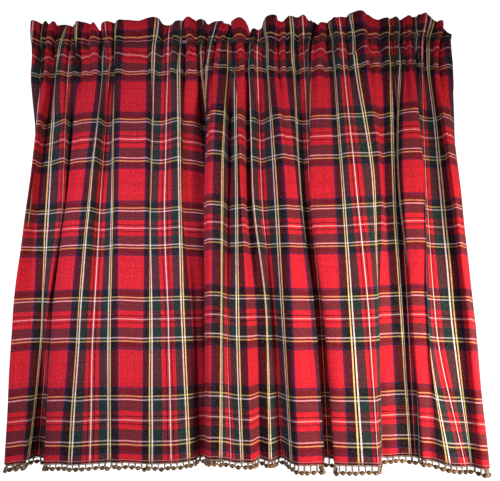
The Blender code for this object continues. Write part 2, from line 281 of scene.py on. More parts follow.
# %% The fold lines, in millimetres
Fold = namedtuple("Fold", "name along frill row high low hem out back_high back_hem lift_row lift_hem")
FOLDS = [
    Fold("left edge", 0, -353, -348, -318, -326, -320, 12, 40, 34, -1, -5),
    Fold("left turn", 55, -324, -330, -339, -348, -342, 12, 4, 10, -1, -6),
    Fold("first crest", 103, -303, -313, -321, -316, -316, 2, 24, 4, 0, -3),
    Fold("first crest end", 120, -293, -306, -306, -303, -311, -3, 20, 28, 0, -3),
    Fold("small crest", 148, -288, -290, -284, -295, -298, 0, 3, 40, 0, -4),
    Fold("second tuck", 180, -274, -273.5, -275.5, -288, -285, 6, 28, 32, 0, -4),
    Fold("second rise", 198, -264, -270.5, -277.5, -290, -289, 8, 11, 12, 0, -4),
    Fold("second face", 241, -243, -238, -252, -261, -264, 8, 5, 3, 0, -2),
    Fold("second crest", 260, -237, -231, -241, -247, -248, -13, 0, 0, 0, -2),
    Fold("second fall", 290, -228, -220, -224, -225, -220, 7, 22, 4, 0, -2),
    Fold("second valley", 320, -210, -212, -205, -200, -192, 10, 12, 9, 0, -1),
    Fold("third rise", 339, -198, -198, -195, -187, -178, 9, 8, 3, 0, 0),
    Fold("third fall", 382, -159, -159, -155, -150, -145, 14, 7, 11, 0, -2),
    Fold("third valley", 401, -145, -148, -147, -139, -132, 12, 18, 5, 0, -1),
    Fold("pivot line", 431, -121, -125, -124, -113, -103, -7, 15, 3, 0, 0),
    Fold("fourth crest", 461, -105, -106, -100, -91, -79, 9, 7, 14, 0, 1),
    Fold("fourth rise", 480, -98, -95, -95, -78, -70, 12, 16, 23, 0, 1),
    Fold("tucked face", 523, -77, -75, -64, -59, -55, 9, 36, 40, 0, 1),
    Fold("tuck turn", 550, -68, -69, -39, -33.5, -29.5, 3, 50, 54, 2, 2),
    Fold("tuck back", 571, -60, -65, -36.5, -31.5, -28.5, 0, 38, 40, 4, 4),
    Fold("tuck return", 603, -44, -59, -59, -55, -51, -1, 22, 24, 5, 5),
    Fold("lapping edge", 626, -35.5, -55, -62, -58, -55, 2, 7, 8, 6, 6),
    Fold("lap", 664, -28.5, -42, -49, -48, -47, -10, -3, 0, 6, 7),
    Fold("lap crest", 683, -27, -26.5, -33.5, -32.5, -32.5, -13, 0, 0, 6, 6),
    Fold("lap valley", 713, -25.5, -22.5, -23.5, -25.5, -18, -16, 27, 6, 4, 3),
    Fold("fifth rise", 743, -24, -17.5, -12.5, -9.5, -2.5, -8, 7, 5, 2, 2),
    Fold("fifth crest", 762, -22.5, -13.5, -5.5, 4, 10, 1, 0, 0, 2, 2),
    Fold("fifth fall", 805, 13, 3, 2, 17, 22, -4, 27, 28, 4, 2),
    Fold("fifth valley", 824, 16, 6, 11.5, 33, 37, -24, 18, 14, 5, 1),
    Fold("sixth valley", 854, 21, 20, 25, 42, 52, -17, 33, 35, 5, 1),
    Fold("sixth rise", 884, 36, 38, 48, 57, 66, 6, 11, 9, 2, 0),
    Fold("sixth crest", 903, 50, 47, 64, 72, 77, 16, 1, 1, 0, 0),
    Fold("seventh fall", 946, 63, 65, 80, 98, 111, 9, 8, 4, 0, 0),
    Fold("seventh edge", 957, 70, 72, 82.5, 104, 112.5, 10, 12, 7, 0, 0),
    Fold("dark side", 965, 75, 77, 84.5, 100.5, 107, 11, 19, 24, 0, 1),
    Fold("dark valley", 995, 95, 95, 99.5, 112, 117.5, 15, 25, 30, 0, 3),
    Fold("dark tuck", 1024, 106, 101, 103, 120, 127, 0, 24, 28, 0, 2),
    Fold("eighth rise", 1044, 117, 106, 99, 116.5, 125, -17, 9, 9, 0, 0),
    Fold("eighth face", 1087, 129, 134, 138, 142, 146, -6, 4, 3, 0, 0),
    Fold("eighth crest", 1136, 154, 158, 171, 183, 188, 5, 0, 0, 1, 1),
    Fold("eighth edge", 1166, 173, 177, 198.5, 198, 191, 16, 3, 12, 3, 3),
    Fold("ninth edge", 1185, 189, 192, 207, 198, 194, 19, 11, 31, 7, 4),
    Fold("ninth face", 1228, 216, 219, 214, 214, 214, -4, 22, 31, 8, 5),
    Fold("ninth valley", 1247, 232, 231, 227, 229, 232, -1, 18, 30, 8, 6),
    Fold("ninth return", 1277, 237, 237.5, 238, 238, 239, 0, 31, 29, 8, 5),
    Fold("tenth tuck", 1300, 245, 244.5, 234.5, 247, 243, 0, 18, 25, 8, 6),
    Fold("tenth edge", 1326, 256, 255, 242, 245, 249, 0, 3, 16, 8, 6),
    Fold("tenth fall", 1370, 271, 268, 275, 268, 269, 6, 1, 8, 7, 5),
    Fold("tenth turn", 1389, 278, 274, 269, 266, 285, 3, 12, 3, 5, 2),
    Fold("tenth valley", 1418, 292, 279.5, 275, 278, 307.5, 10, 24, 8, 3, -1),
    Fold("eleventh rise", 1467, 309, 299, 313, 319, 323, -17, 14, 5, 0, -1),
    Fold("eleventh crest", 1489, 315, 307, 319, 328, 334, -11, 1, 0, 0, -1),
    Fold("right turn", 1512, 321, 318, 327, 335, 342, -22, 18, 11, 0, -4),
    Fold("right edge", 1524, 326, 328, 320, 328, 336, -30, 32, 22, 0, -4),
]
CLOTH_WIDTH = FOLDS[-1].along * MM
print(len(FOLDS), "fold lines in", CLOTH_WIDTH, "m of cloth")

# %% [markdown]
# ## Between the fold lines
# The table says where some fifty lines of the cloth hang. The cloth between them has to run on
# smoothly, but a common spline swings past its points and would make folds that aren't there.
# The curve here stays between each two neighbouring values, and runs level where they turn back.

# %% Smooth curves through the table


def smooth_through(knots, values):
    """A function that reads the smooth curve through the values and never swings past them."""
    knots = np.asarray(knots, dtype=float)
    values = np.asarray(values, dtype=float)
    steps = np.diff(knots)
    if values.ndim > 1:
        steps = steps[:, None]
    rates = np.diff(values, axis=0) / steps
    near = 2 * steps[1:] + steps[:-1]
    far = steps[1:] + 2 * steps[:-1]
    same_way = rates[:-1] * rates[1:] > 0
    before = np.where(same_way, rates[:-1], 1.0)
    after = np.where(same_way, rates[1:], 1.0)
    inner = np.where(same_way, (near + far) / (near / before + far / after), 0.0)
    slopes = np.concatenate([rates[:1], inner, rates[-1:]])

    def read(t):
        i = np.clip(np.searchsorted(knots, t) - 1, 0, len(knots) - 2)
        h = knots[i + 1] - knots[i]
        u = (t - knots[i]) / h
        start = (1 + 2 * u) * (1 - u) ** 2 * values[i] + u * (1 - u) ** 2 * h * slopes[i]
        end = u * u * (3 - 2 * u) * values[i + 1] + u * u * (u - 1) * h * slopes[i + 1]
        return start + end

    return read


def mix(a, b, share):
    """a where the share is 0, b where it is 1."""
    return a + (b - a) * share


def smooth_step(t):
    """Rises from 0 to 1 as t does, and is level at both ends."""
    t = np.clip(t, 0.0, 1.0)
    return t * t * (3 - 2 * t)


COLUMNS = 401  # corners from one side edge of the cloth to the other
along = np.linspace(0.0, CLOTH_WIDTH, COLUMNS)
hung = {}
for field in Fold._fields[2:]:
    knots = [fold.along * MM for fold in FOLDS]
    hung[field] = smooth_through(knots, [getattr(fold, field) * MM for fold in FOLDS])(along)
print("a corner every", round(CLOTH_WIDTH / (COLUMNS - 1) / MM, 2), "mm of cloth")

# %% [markdown]
# ## Rows of cloth
# The sheet is made of level rows, each a line of corners across the cloth at one height. The
# table's side to side places are those seen in the front plane, so a corner that hangs further
# back is moved out a little, along the line of sight. That way a stripe keeps its place in the
# picture however deep its fold is.

# %% Rows of the panel


def in_sight(x, y):
    """Place from side to side at depth y of what is seen at x in the front plane."""
    return x * (1 + (y - FRONT_Y) / SIGHT)


gather_y = ROW_SHARE * (hung["back_high"] - ROW_MIDDLE)
across = smooth_through(HEIGHTS, np.array([hung["hem"], hung["low"], hung["high"], hung["row"]]))


def body_row(height):
    """The row of cloth that hangs at a height above the hem."""
    share = min(height / HEIGHTS[2], 1.0)
    back = mix(hung["back_hem"], hung["back_high"], share)
    y = mix(gather_y, FRONT_Y + back, smooth_step((BODY_DROP - height) / GATHER_DROP))
    lift = mix(hung["lift_hem"], hung["lift_row"], height / BODY_DROP)
    return np.column_stack([in_sight(across(height), y), y, HEM_Z + height + lift])


print("hem runs", round(float(np.linalg.norm(np.diff(body_row(0.0), axis=0), axis=1).sum()), 3), "m")

# %% [markdown]
# ## Rows of the heading
# Above the lower stitches the cloth parts into two walls round the rod. They meet again at the
# upper stitches, and the frill fans out from there. The pocket could be a plain tube, but it
# hangs flatter than that where no rod fills it. Pleats pull at the frill's top edge, so each
# dip or rise of that edge is one line of a short list.

# %% Dips of the frill's edge
# Place along the cloth, how far the edge is pulled down, and half the dip's width, in millimetres
DIPS = (
    (57, 7, 8),
    (238, 4, 22),
    (244, 10, 8),
    (403, -1, 13),
    (781, -5, 8),
    (802, 29, 8),
    (852, 4, 10),
    (940, 10, 16),
    (1012, 9, 8),
    (1040, -9, 7),
    (1437, -8, 12),
    (1522, 15, 9),
)
dip = sum(drop * MM * np.exp(-(((along / MM - place) / half) ** 2)) for place, drop, half in DIPS)
print("the edge dips by up to", round(float(dip.max()) / MM, 1), "mm")

# %% Rows of the heading


def heading_row(level, bow):
    """A row of the heading. level is 0 at the lower stitch row, 1 at the upper and 2 at the top of
    the frill. bow is -1 for the front wall of the pocket, 1 for the back wall and 0 for a seam."""
    top_y = -hung["out"]
    seam_y = SEAM_FOLLOWS_ROW * gather_y + SEAM_FOLLOWS_FRILL * top_y + SEAM_SUNK
    if level <= 1:
        turn = pi * level
        x = mix(hung["row"], hung["frill"], (1 - FRILL_SPREAD) * level)
        y = mix(gather_y, seam_y, level) * (1 - ROD_FLATTENS * sin(turn)) + bow * POCKET_BOW * sin(turn)
        z = POCKET_Z - mix(cos(turn) / 2, 0.5 - level, POCKET_SLACK) * POCKET_RISE
        z = z + hung["lift_row"] * (1 - level)
    else:
        rise = level - 1
        x = mix(hung["row"], hung["frill"], 1 - FRILL_SPREAD * (1 - rise))
        y = mix(seam_y, top_y, rise)
        z = -FRILL_RISE * (1 - rise) - dip * rise**2
    return np.column_stack([in_sight(x, y), y, z])


def square_to(row):
    """The level direction square to a row at each of its corners, pointing to the front."""
    run = np.gradient(row[:, :2], axis=0)
    run /= np.linalg.norm(run, axis=1)[:, None] + 1e-9
    return np.column_stack([run[:, 1], -run[:, 0], np.zeros(COLUMNS)])


print("the upper stitches span", round(float(np.ptp(heading_row(1, 0)[:, 0])), 3), "m")

# %% [markdown]
# ## Gathers
# At a stitch row 1.5 m of cloth is crowded into 0.7 m, so it puckers. Puckers are many small
# waves that die away within a few centimetres, over fewer wide waves that run on down the
# cloth. They slant and drift as they run, because no two gathers pull alike. Each wave is as
# tall as the spare cloth at that place allows, so a slack stretch ripples and a taut one lies
# smooth. Seeded random numbers make them uneven, the same each run.

# %% Uneven curves along the cloth
SEED = 7
rng = np.random.default_rng(SEED)


def wander(spacing, size):
    """A random curve along the cloth that turns about once every spacing, within plus or minus size."""
    count = int(CLOTH_WIDTH / spacing) + 3
    knots = np.linspace(-spacing, CLOTH_WIDTH + spacing, count)
    return smooth_through(knots, rng.uniform(-size, size, count))(along)


print("random numbers from seed", SEED)

# %% Spare cloth
SMOOTH_OVER = 17  # corners
MOST_SPARE = 2.5


def spare_cloth(row):
    """The row's length as a share of its cloth's, and the spare cloth as a share of the row."""
    step = np.linalg.norm(np.diff(row[:, :2], axis=0), axis=1) / (CLOTH_WIDTH / (COLUMNS - 1))
    window = np.hanning(SMOOTH_OVER)
    half = SMOOTH_OVER // 2
    padded = np.concatenate([np.full(half, step[0]), step, np.full(half, step[-1])])
    ratio = np.convolve(padded, window / window.sum(), mode="valid")
    ratio = np.interp(np.arange(COLUMNS), np.arange(COLUMNS - 1) + 0.5, ratio)
    return ratio, np.clip(1 / ratio - 1, 0.0, MOST_SPARE)


spare_at_row = spare_cloth(body_row(BODY_DROP))[1]
print("spare cloth at the lower stitches", round(float(spare_at_row.mean()), 2), "of the row's length")

# %% Waves of spare cloth
FINE_WAVE = 0.026  # metres of flat cloth from crest to crest
WIDE_WAVE = 0.056
TALLEST_FINE = 0.0038
TALLEST_IN_POCKET = 0.0048  # the pocket's walls have room to stand off the rod
TALLEST_WIDE = 0.0050
fine_phase = 2 * pi * along / FINE_WAVE + wander(0.08, 2.2)
wide_phase = 2 * pi * along / WIDE_WAVE + wander(0.15, 2.0)
fine_drift = wander(0.07, 26.0)  # radians a metre: the waves slant as they run away from the stitches
wide_drift = wander(0.16, 7.0)
fine_slant = wander(0.06, 3.0)  # radians by which a crease leans from one stitch row to the other
wide_slant = wander(0.12, 2.0)
fine_size = 1 + wander(0.05, 0.55)
wide_size = 1 + wander(0.11, 0.45)


def crests(phase):
    """Round crests with narrower valleys between them, about 0 on average and 1 tall in all."""
    return ((1 + np.cos(phase)) / 2) ** 0.62 - 0.59


def waves(row, distance, fine_share, wide_share, level=0.0):
    """How far each corner stands forward, at a distance from the stitches."""
    # A shallow sine wave takes up just the spare cloth when its crests stand off by its length
    # times the root of the spare, over pi.
    ratio, spare = spare_cloth(row)
    room = np.sqrt(spare) * ratio / pi
    tallest = TALLEST_IN_POCKET if 0 < level < 1 else TALLEST_FINE
    fine = np.minimum(room * FINE_WAVE * fine_share * fine_size, tallest)
    wide = np.minimum(room * WIDE_WAVE * wide_share * wide_size, TALLEST_WIDE)
    fine_turn = fine_phase + fine_drift * distance + fine_slant * min(level, 1)
    wide_turn = wide_phase + wide_drift * distance + wide_slant * min(level, 1)
    return 2 * fine * crests(fine_turn) + 2 * wide * crests(wide_turn)


print("fine waves", FINE_WAVE, "m, wide waves", WIDE_WAVE, "m")

# %% [markdown]
# ## The cloth as one sheet
# The real curtain is a single cloth: up the back of the pocket, over the top of the frill,
# down the front and on to the hem, where it turns up. So it is made as one grid with a row
# of corners for each step of that way. Two layers meet at the stitch rows, half a thickness
# to each side, and puff apart in the frill. Between the stitch rows the pocket has short
# creases as well, which lean either way and pull the cloth down where they press it in. A
# Solidify modifier then gives the sheet its thickness.

# %% Creases in the pocket
CREASE_COUNT = 64
CREASE_HALF = 8.0  # half width in mm of flat cloth
CREASE_TALL = 0.20  # half height as a share of the pocket's
CREASE_DEEPEST = 0.0055
CREASE_PULL = 0.9  # how far a crease pulls the cloth down, for how far it presses it in
CREASES = np.column_stack(
    [
        rng.uniform(0, 1524, CREASE_COUNT),  # place along the cloth in mm
        rng.uniform(0.25, 0.95, CREASE_COUNT),  # level
        rng.uniform(-70, 70, CREASE_COUNT),  # lean in mm of cloth for a whole level
        rng.uniform(1.5, 5.0, CREASE_COUNT),  # depth in mm
    ]
)


def creases(level):
    """How far each corner of the pocket is pressed in, by short creases that lean either way."""
    deep = np.zeros(COLUMNS)
    for place, height, lean, depth in CREASES:
        aside = along / MM - place - lean * (level - height)
        near = (aside / CREASE_HALF) ** 2 + ((level - height) / CREASE_TALL) ** 2
        deep += depth * MM * np.exp(-near)
    return np.minimum(deep, CREASE_DEEPEST) * np.sin(pi * level) ** 0.4


print(CREASE_COUNT, "creases, up to", round(float(creases(0.5).max()) / MM, 1), "mm deep half way up")

# %% Laying one row
lay = []  # rows of corners from the turned edge at the back to the turned-up hem
down_cloth = []  # metres of cloth from the top of the frill, negative at the back


def lay_row(row, distance, shares, offset, down, level=0.0):
    """Waves a row, presses the pocket's creases in, shifts it to its own layer and keeps it."""
    rippled = row + square_to(row) * waves(row, distance, *shares, level)[:, None]
    if 0 < level < 1:
        pressed = creases(level)
        rippled -= square_to(row) * pressed[:, None]
        rippled[:, 2] -= CREASE_PULL * pressed
    lay.append(rippled + square_to(rippled) * offset)
    down_cloth.append(down)


print("each row has", COLUMNS, "corners")

# %% How strong the waves are
FINE_REACH = 0.036  # metres of cloth in which the fine waves die away below the stitches
WIDE_REACH = 0.08
WIDE_LEFT = 0.22  # share of the wide waves that runs on down to the hem


def heading_shares(level):
    """Shares of fine and wide waves in the pocket and the frill."""
    if level <= 1:
        pressed = sin(pi * level)
        return 0.95 - 0.10 * pressed, 0.60 + 0.10 * pressed
    return mix(0.90, 0.32, level - 1), mix(0.60, 0.85, level - 1)


def from_stitches(level):
    """Metres of cloth to the nearest stitches, but half of it in the pocket, held at both ends."""
    if level <= 1:
        return POCKET_CLOTH * min(level, 1 - level) * 0.5
    return FRILL_RISE * (level - 1)


def body_shares(drop):
    """Shares of fine and wide waves at a drop below the lower stitches."""
    fine = 0.95 * np.exp(-((drop / FINE_REACH) ** 1.5))
    wide = WIDE_LEFT + 0.38 * np.exp(-drop / WIDE_REACH)
    return fine, wide


still_there = [round(float(share), 2) for share in body_shares(FINE_REACH)]
print("shares of fine and wide waves", FINE_REACH, "m below the stitches", still_there)

# %% Lay the heading, up its back and down its front
CLOTH_THICK = 0.0008
LAYER = 0.00045  # from the middle of two sewn layers to the middle of one
TOP_ROUND = 1.6 * LAYER
FRILL_PUFF = 0.0016
BACK_WALL_PUFF = 1.2  # the pocket's back wall stands off by this many layers
SEWN_UNDER = 0.004  # cloth turned under below the lower stitches, at the back
TOP_FOLD = 0.0007  # half the cloth that bends over the frill's top
UPPER_ROW = FRILL_RISE + 0.0035  # the frill's cloth is a little longer than the frill is high
LOWER_ROW = UPPER_ROW + POCKET_CLOTH
BACK_POCKET = (0.0, 0.05, 0.13, 0.25, 0.38, 0.5, 0.62, 0.75, 0.87, 0.95, 1.0)
BACK_FRILL = (1.06, 1.15, 1.28, 1.42, 1.57, 1.72, 1.86, 1.95)
FRONT_FRILL = (1.95, 1.88, 1.78, 1.68, 1.57, 1.46, 1.35, 1.25, 1.16, 1.08, 1.03)
FRONT_POCKET = (1.0, 0.96, 0.91, 0.84, 0.75, 0.65, 0.55, 0.45, 0.35, 0.25, 0.16, 0.09, 0.04, 0.0)


def lay_heading(levels, side):
    """Lays rows of the heading, at its back where side is -1 and at its front where it is 1."""
    for level in levels:
        if level > 1:
            layer = LAYER + FRILL_PUFF * sin(pi * (level - 1)) ** 0.6
            place = UPPER_ROW * (2 - level)
        else:
            layer = LAYER * BACK_WALL_PUFF if side < 0 and 0 < level < 1 else LAYER
            place = UPPER_ROW + (1 - level) * POCKET_CLOTH
        row = heading_row(level, -side)
        lay_row(row, from_stitches(level), heading_shares(level), side * layer, side * place, level)


back_end = body_row(BODY_DROP - SEWN_UNDER)
lay_row(back_end, SEWN_UNDER, body_shares(SEWN_UNDER), -3 * LAYER, -LOWER_ROW - SEWN_UNDER)
lay_heading(BACK_POCKET + BACK_FRILL, -1)
for turn in (-1.0, -0.5, 0.0, 0.5, 1.0):  # a half circle over the frill's top
    top = heading_row(2, 0)
    top[:, 2] += -TOP_ROUND + TOP_ROUND * cos(turn * pi / 2)
    rounding = TOP_ROUND * sin(turn * pi / 2)
    lay_row(top, from_stitches(2), heading_shares(2), rounding, turn * TOP_FOLD, 2)
lay_heading(FRONT_FRILL + FRONT_POCKET, 1)
LOWER_STITCHES = len(lay) - 1
UPPER_STITCHES = LOWER_STITCHES - FRONT_POCKET.index(0.0)
print("the heading takes", len(lay), "rows")

# %% Lay the panel and turn up the hem
HEM_TURN = 0.008
# Millimetres below the lower stitches, in small steps near them and near the hem
drops = [2, 4, 6.5, 9, 12, 15, 19, 23, 28, 33, 39, 46, 54, 63, 73, 84, 96]
drops += list(np.linspace(108, 588, 41)) + [593, 596.5, 599, 600.6, 601.5]
for drop in drops:
    drop = drop * MM
    layer = LAYER * (1 - smooth_step(drop / 0.03))
    lay_row(body_row(BODY_DROP - drop), drop, body_shares(drop), layer, LOWER_ROW + drop)
HEM_STITCHES = len(lay) - 3
lay_row(body_row(0.0), BODY_DROP, body_shares(BODY_DROP), -0.5 * LAYER, LOWER_ROW + BODY_DROP)
HEM_FOLD = len(lay) - 1
for rise in (0.0006, 0.002, 0.005, HEM_TURN):
    place = LOWER_ROW + BODY_DROP + rise
    lay_row(body_row(rise), BODY_DROP, body_shares(BODY_DROP), -2 * LAYER, place)
sheet_rows = np.array(lay)

# %% Soft dents of a cloth that was folded and ironed
# Height in millimetres, and metres of cloth from dent to dent, along and down
DENTS = ((1.1, 0.19, 0.33), (0.8, 0.11, 0.21), (0.6, 0.067, 0.12))
for size, wave_along, wave_down in DENTS:
    lean = wander(0.3, 1.5)
    turn = 2 * pi * (along / wave_along)[None, :] + lean[None, :]
    down = np.array(down_cloth)[:, None] * 2 * pi / wave_down
    dent = size * MM * np.sin(turn + rng.uniform(0, 6)) * np.sin(down + 1.7 * lean[None, :])
    settle = smooth_step(np.abs(np.array(down_cloth)) / 0.25)[:, None]
    sheet_rows[:, :, 1] += dent * settle * (np.array(down_cloth)[:, None] > LOWER_ROW)
print("deepest and nearest y", sheet_rows[:, :, 1].max().round(4), sheet_rows[:, :, 1].min().round(4))

# %% Make the sheet
curtain = new_object(
    "curtain_cloth", sheet_rows.reshape(-1, 3).tolist(), grid_faces(len(lay), COLUMNS)
)
solid = curtain.modifiers.new("thickness", "SOLIDIFY")
solid.thickness = CLOTH_THICK
solid.offset = 0.0
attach(curtain, "root")
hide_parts("heading", "panel")

# %% [markdown]
# ## Threads and tartan
# A tartan is nothing but coloured threads: the same run of colours, the sett, is strung on
# the loom lengthwise and woven crosswise, and repeats by turning back on itself. So the
# pattern isn't painted. Each corner of the sheet is told its thread numbers, as a UV map, and
# the material looks up the colours of the two threads that cross there. It follows every fold.

# %% Thread numbers on the sheet
THREAD = 0.83 * MM
FIRST_WARP = -94.0  # threads from the left edge to the middle of the first wide red stripe
FIRST_WEFT = 6.0  # threads from the middle of a wide red stripe to the frill's top fold
# Threads counted down the cloth: metres from the top fold, and the thread that lies there
WEFT_COUNTS = (
    (0.000, 0),
    (0.0304, 40.2),
    (0.0377, 45.9),
    (0.0678, 79),
    (0.097, 115),
    (0.181, 213),
    (0.2123, 249),
    (0.246, 285),
    (0.3263, 383),
    (0.356, 419),
    (0.385, 455),
    (0.465, 553),
    (0.4952, 589),
    (0.5255, 625),
    (0.609, 723),
    (0.6403, 759),
    (0.6718, 795),
    (0.710, 839),
)

thread_map = curtain.data.uv_layers.new(name="threads")
warp = along / THREAD + FIRST_WARP
down = np.array(down_cloth)
count_wefts = smooth_through(*zip(*WEFT_COUNTS))
weft = np.sign(down) * count_wefts(np.abs(down)) + FIRST_WEFT
corners = np.empty(len(curtain.data.loops), dtype=np.int32)
curtain.data.loops.foreach_get("vertex_index", corners)
numbers = np.column_stack([warp[corners % COLUMNS], weft[corners // COLUMNS]])
thread_map.data.foreach_set("uv", numbers.ravel())

# %% [markdown]
# ## The sett
# The stripes are counted in threads on the real cloth, from the middle of a wide red stripe to
# the white pivot line, where the run turns back. Cloth woven on one sett is seldom quite square:
# here the crosswise red is a little wider than the lengthwise, and the dark beside it narrower.

# %% The sett
RED = (0.64, 0.016, 0.032)
BLUE = (0.012, 0.009, 0.085)
BLACK = (0.012, 0.004, 0.006)
YELLOW = (0.92, 0.79, 0.29)
WHITE = (0.97, 0.95, 0.94)
GREEN = (0.010, 0.036, 0.034)


def sett(red, blue, black, line, between):
    """Stripes from the middle of a wide red one to the white pivot, as counts of threads."""
    lines = [(line, YELLOW), (between, BLACK), (line, WHITE), (1.0, BLACK)]
    middle = [(16, GREEN), (8, RED), (2, BLACK), (4, RED), (1, WHITE)]
    return [(red, RED), (blue, BLUE), (black, BLACK)] + lines + middle


WARP_SETT = sett(26, 4.4, 14.4, 2.6, 3.0)
WEFT_SETT = sett(31, 4.0, 10.0, 2.3, 3.4)
HALF_SETT = sum(count for count, colour in WARP_SETT)
print("half sett of", HALF_SETT, "threads, repeat of", round(2 * HALF_SETT * THREAD, 3), "m")

# %% [markdown]
# ## How two threads make one colour
# In a twill each thread goes over two and under two, one step on in each row, which draws the
# slanting ribs. Two colours that lie side by side could simply be averaged, and where a thick
# white or yellow thread lies they mostly are. Fine threads sink into each other, so red crossed
# with black is a deep brown: there the two colours are multiplied, each raised to the power of
# its share of the face. Uneven dye, a soft fuzz and specks of pale lint take away the look of
# print, and painted shade darkens the cloth where its edges turn.

# %% Colour of a thread
tartan = Bench("woven tartan")
threads = tartan.node("UVMap", uv_map="threads")
split = tartan.tree.nodes.new("ShaderNodeSeparateXYZ")
tartan.wire(threads, split.inputs[0])
warp_number, weft_number = split.outputs[0], split.outputs[1]


def stripe(number, stripes):
    """The colour of a thread by its number, from a ramp with hard steps. The ramp's alpha comes
    with it: 1 for a thick thread and 0 for a thin one."""
    place = tartan.math("PINGPONG", number, float(HALF_SETT))
    place = tartan.math("DIVIDE", place, float(HALF_SETT))
    ramp = tartan.tree.nodes.new("ShaderNodeValToRGB")
    ramp.color_ramp.interpolation = "CONSTANT"
    tartan.wire(place, ramp.inputs[0])
    steps = ramp.color_ramp.elements
    steps.remove(steps[1])
    start = 0
    for count, colour in stripes:
        step = steps[0] if start == 0 else steps.new(start / HALF_SETT)
        step.color = (*colour, 1.0 if colour in (WHITE, YELLOW) else 0.0)
        start += count
    return ramp.outputs[0], ramp.outputs[1]


warp_colour, thick_warp = stripe(warp_number, WARP_SETT)
weft_colour, thick_weft = stripe(weft_number, WEFT_SETT)
print("ramps of", len(WARP_SETT), "and", len(WEFT_SETT), "stripes")

# %% Weave the two colours
WARP_COVER = 0.60  # share of the face that the warp takes, on average
TOP_COVER = 0.16  # how much more of it a thread takes where it lies on top
THICK_COVER = 0.22  # how much more the thick white and yellow warp threads take
THICK_WEFT_COVER = 0.09  # how much the thick weft threads take back
MOST_COVER = 0.90
CLEAR = 0.08  # share in which thin threads only lie side by side
CLEAR_THICK_WEFT = 0.50  # how much more of that the thick weft threads have

wale = tartan.math("SUBTRACT", tartan.math("FLOOR", warp_number), tartan.math("FLOOR", weft_number))
wale = tartan.math("FLOORED_MODULO", wale, 4.0)
warp_on_top = tartan.math("LESS_THAN", wale, 1.5)
cover = tartan.node("MapRange", warp_on_top, 0.0, 1.0, WARP_COVER - TOP_COVER, WARP_COVER + TOP_COVER)
thicker = tartan.math("MULTIPLY", thick_warp, THICK_COVER)
cover = tartan.math("ADD", cover, thicker)
cover = tartan.math("MULTIPLY_ADD", thick_weft, -THICK_WEFT_COVER, cover)
cover = tartan.math("MINIMUM", cover, MOST_COVER)
side_by_side = tartan.blend(cover, weft_colour, warp_colour)
deep_warp = tartan.node("Gamma", warp_colour, cover)
deep_weft = tartan.node("Gamma", weft_colour, tartan.math("SUBTRACT", 1.0, cover))
deep = tartan.blend(1.0, deep_warp, deep_weft, "MULTIPLY")
clear = tartan.math("MULTIPLY_ADD", thick_warp, 1 - CLEAR, CLEAR)
clear = tartan.math("MULTIPLY_ADD", thick_weft, CLEAR_THICK_WEFT, clear)
clear = tartan.math("MINIMUM", clear, 1.0)
cloth_colour = tartan.blend(clear, deep, side_by_side)
print("on top the warp covers", round(WARP_COVER + TOP_COVER, 2), "of the face")

# %% Uneven dye, fuzz, lint and painted shade at the turned edges
DYE = (0.86, 1.12)  # the dullest and the brightest thread
FUZZ = (0.76, 1.24)
LINT = (0.40, 0.28, 0.31)
LINT_STRONGEST = 0.34
PAINTED_EDGE_SHADE = 0.35  # painted shade: the light that is left where the cloth turns at the hem and the frill's top
HEM_THREAD = float(count_wefts(LOWER_ROW + BODY_DROP)) + FIRST_WEFT


def uneven(number, seed):
    """A brightness for each thread, since no two take the dye alike."""
    whole = tartan.math("FLOOR", number)
    noise = tartan.node("TexWhiteNoise", None, tartan.math("ADD", whole, seed), noise_dimensions="1D")
    return tartan.node("MapRange", noise, 0.0, 1.0, *DYE)


def darken(colour, amount):
    """A colour times an amount of light."""
    grey = tartan.tree.nodes.new("ShaderNodeCombineColor")
    for socket in grey.inputs[:3]:
        tartan.wire(amount, socket)
    return tartan.blend(1.0, colour, grey.outputs[0], "MULTIPLY")


shade = tartan.math("MULTIPLY", uneven(warp_number, 3.5), uneven(weft_number, 911.5))
fuzz = tartan.node("TexNoise", threads, None, 0.20, 4.0, 0.7, noise_dimensions="2D")
fuzz = tartan.node("MapRange", fuzz, 0.3, 0.7, *FUZZ)
cloth_colour = darken(cloth_colour, tartan.math("MULTIPLY", shade, fuzz))
lint = tartan.node("TexNoise", threads, None, 0.42, 2.0, 0.8, noise_dimensions="2D")
lint = tartan.node("MapRange", lint, 0.58, 0.74, 0.0, LINT_STRONGEST)
cloth_colour = tartan.blend(lint, cloth_colour, (*LINT, 1.0))
# Painted shade: the colour is darkened along the hem's fold and the frill's top fold, where the cloth
# turns away from the light.
painted_hem_shade = tartan.node("MapRange", weft_number, HEM_THREAD - 5.5, HEM_THREAD - 2.5, 1.0, PAINTED_EDGE_SHADE)
from_top = tartan.math("ABSOLUTE", tartan.math("SUBTRACT", weft_number, FIRST_WEFT))
painted_top_shade = tartan.node("MapRange", from_top, 0.5, 3.0, PAINTED_EDGE_SHADE, 1.0)
cloth_colour = darken(cloth_colour, tartan.math("MULTIPLY", painted_hem_shade, painted_top_shade))
print("the hem folds at thread", round(HEM_THREAD, 1))

# %% Feel of the cloth
rise = tartan.math("PINGPONG", warp_number, 0.5)
rise = tartan.math("ADD", rise, tartan.math("PINGPONG", weft_number, 0.5))
bump = tartan.tree.nodes.new("ShaderNodeBump")
bump.inputs["Strength"].default_value = 0.25
bump.inputs["Distance"].default_value = 0.0003
tartan.wire(rise, bump.inputs["Height"])
tartan.set(
    Base_Color=cloth_colour,
    Roughness=0.88,
    Sheen_Weight=0.06,
    Sheen_Roughness=0.45,
    Specular_IOR_Level=0.08,
    Normal=bump.outputs[0],
)
curtain.data.materials.append(tartan.material)
print("tartan has", len(tartan.tree.nodes), "nodes")

# %% [markdown]
# ## Stitches
# A sewing machine leaves a row of short slanting stitches that sink into the cloth at both
# ends. A bump in the material could hint at them, but a row is only a few hundred tiny tubes,
# so each one is made. They are laid on the finished sheet, at places read off between its
# corners, so they rise and fall with every pucker.

# %% Rings and tubes


